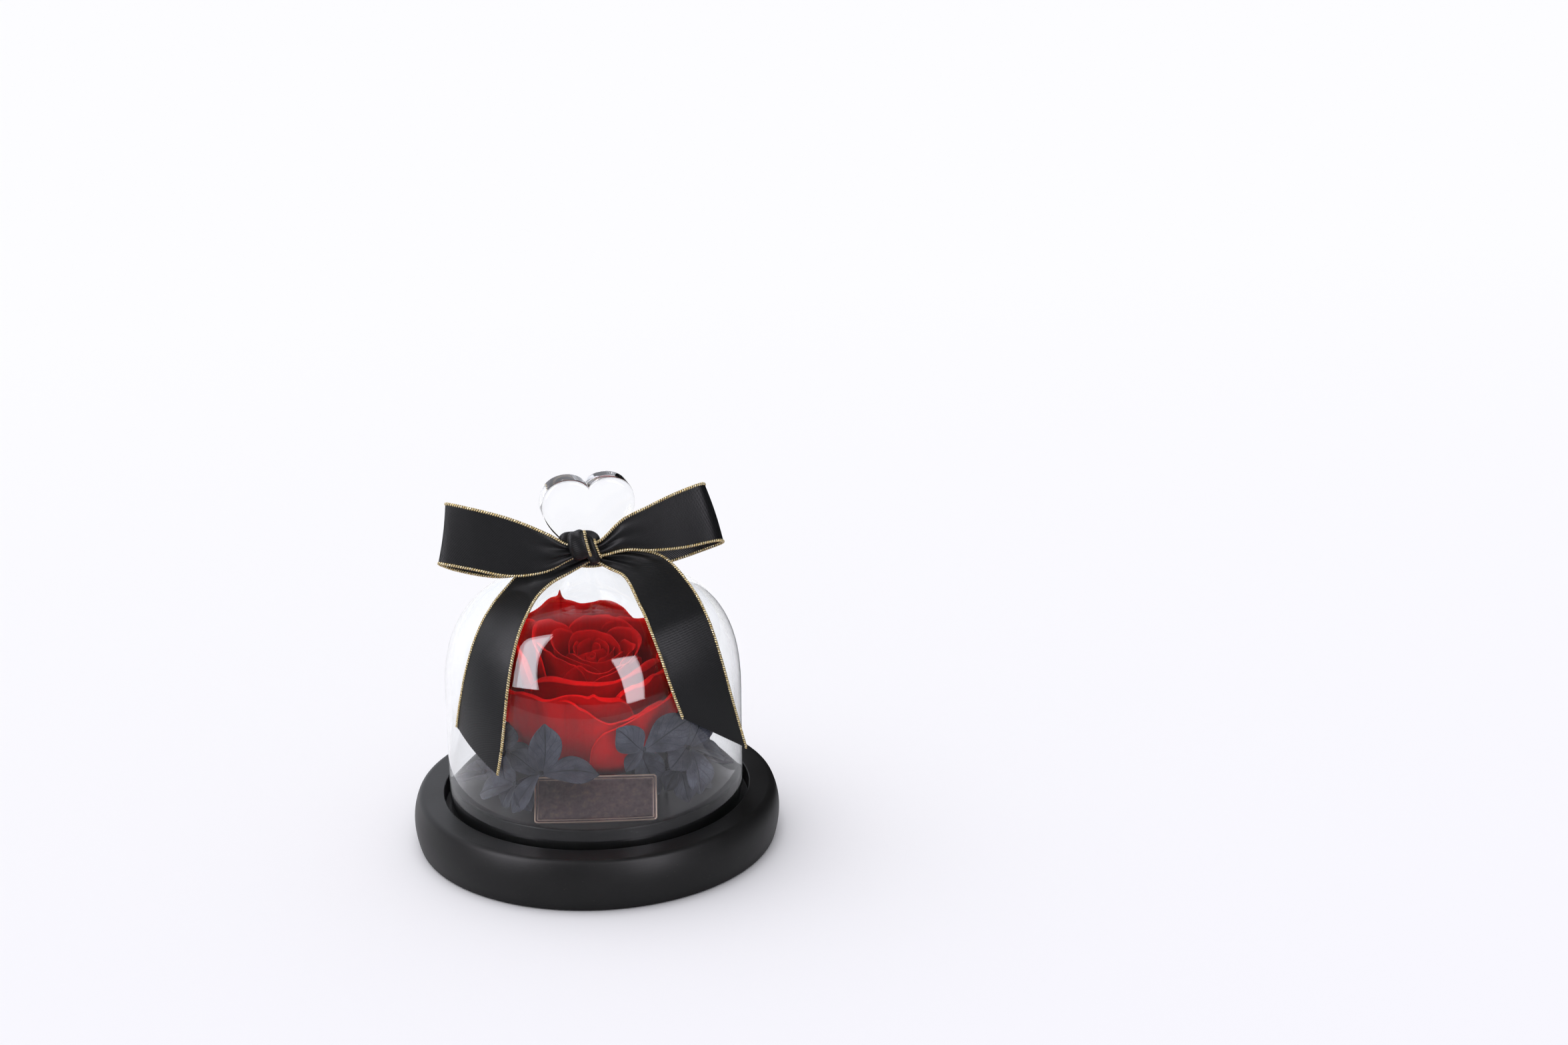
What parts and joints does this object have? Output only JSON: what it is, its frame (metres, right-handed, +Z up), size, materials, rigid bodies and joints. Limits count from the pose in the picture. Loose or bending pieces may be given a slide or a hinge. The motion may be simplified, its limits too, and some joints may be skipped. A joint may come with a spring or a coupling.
{
  "type": "preserved rose in glass dome",
  "caption": "Preserved red rose with dark hydrangea florets under a clear glass dome with a heart handle and a ribbon bow, standing on a grooved wooden base.",
  "frame": {"origin": "centre of the wooden base's underside, on the dome's axis", "axes": "+Z up along the dome's axis; the heart handle faces -Y; +X is to the right when looking at the heart from the front"},
  "size_m": [0.15, 0.15, 0.1541],
  "materials": {
    "black_wood": "turned wood, black satin lacquer",
    "clear_glass": "clear blown glass, polished",
    "aged_metal": "cast plate, dark antique finish with a rubbed rim",
    "stem": "dry stem",
    "rose_petal": "preserved petal, velvety",
    "black_sepal": "preserved sepal, matte with fine veins",
    "satin_ribbon": "woven satin with gold metallic edge threads"
  },
  "bodies": {
    "root": {"wooden_base": "black_wood", "glass_dome": "clear_glass", "metal_plate": "aged_metal", "rose_stem": "stem", "rose_bud": "rose_petal", "rose_petal_01": "rose_petal", "rose_petal_02": "rose_petal", "rose_petal_03": "rose_petal", "rose_petal_04": "rose_petal", "rose_petal_05": "rose_petal", "rose_petal_06": "rose_petal", "rose_petal_07": "rose_petal", "rose_petal_08": "rose_petal", "rose_petal_09": "rose_petal", "rose_petal_10": "rose_petal", "rose_petal_11": "rose_petal", "rose_petal_12": "rose_petal", "rose_petal_13": "rose_petal", "rose_petal_14": "rose_petal", "rose_petal_15": "rose_petal", "rose_petal_16": "rose_petal", "rose_petal_17": "rose_petal", "rose_petal_18": "rose_petal", "rose_petal_19": "rose_petal", "rose_petal_20": "rose_petal", "rose_petal_21": "rose_petal", "rose_petal_22": "rose_petal", "rose_petal_23": "rose_petal", "rose_petal_24": "rose_petal", "hydrangea_floret_01": "black_sepal", "hydrangea_floret_02": "black_sepal", "hydrangea_floret_03": "black_sepal", "hydrangea_floret_04": "black_sepal", "hydrangea_floret_05": "black_sepal", "hydrangea_floret_06": "black_sepal", "hydrangea_floret_07": "black_sepal", "hydrangea_floret_08": "black_sepal", "hydrangea_floret_09": "black_sepal", "hydrangea_floret_10": "black_sepal", "hydrangea_floret_11": "black_sepal", "hydrangea_floret_12": "black_sepal", "hydrangea_floret_13": "black_sepal", "hydrangea_floret_14": "black_sepal", "hydrangea_floret_15": "black_sepal", "ribbon_knot": "satin_ribbon", "ribbon_neck_wrap": "satin_ribbon", "ribbon_left_loop": "satin_ribbon", "ribbon_right_loop": "satin_ribbon", "ribbon_left_tail": "satin_ribbon", "ribbon_right_tail": "satin_ribbon"}
  },
  "joints": []
}
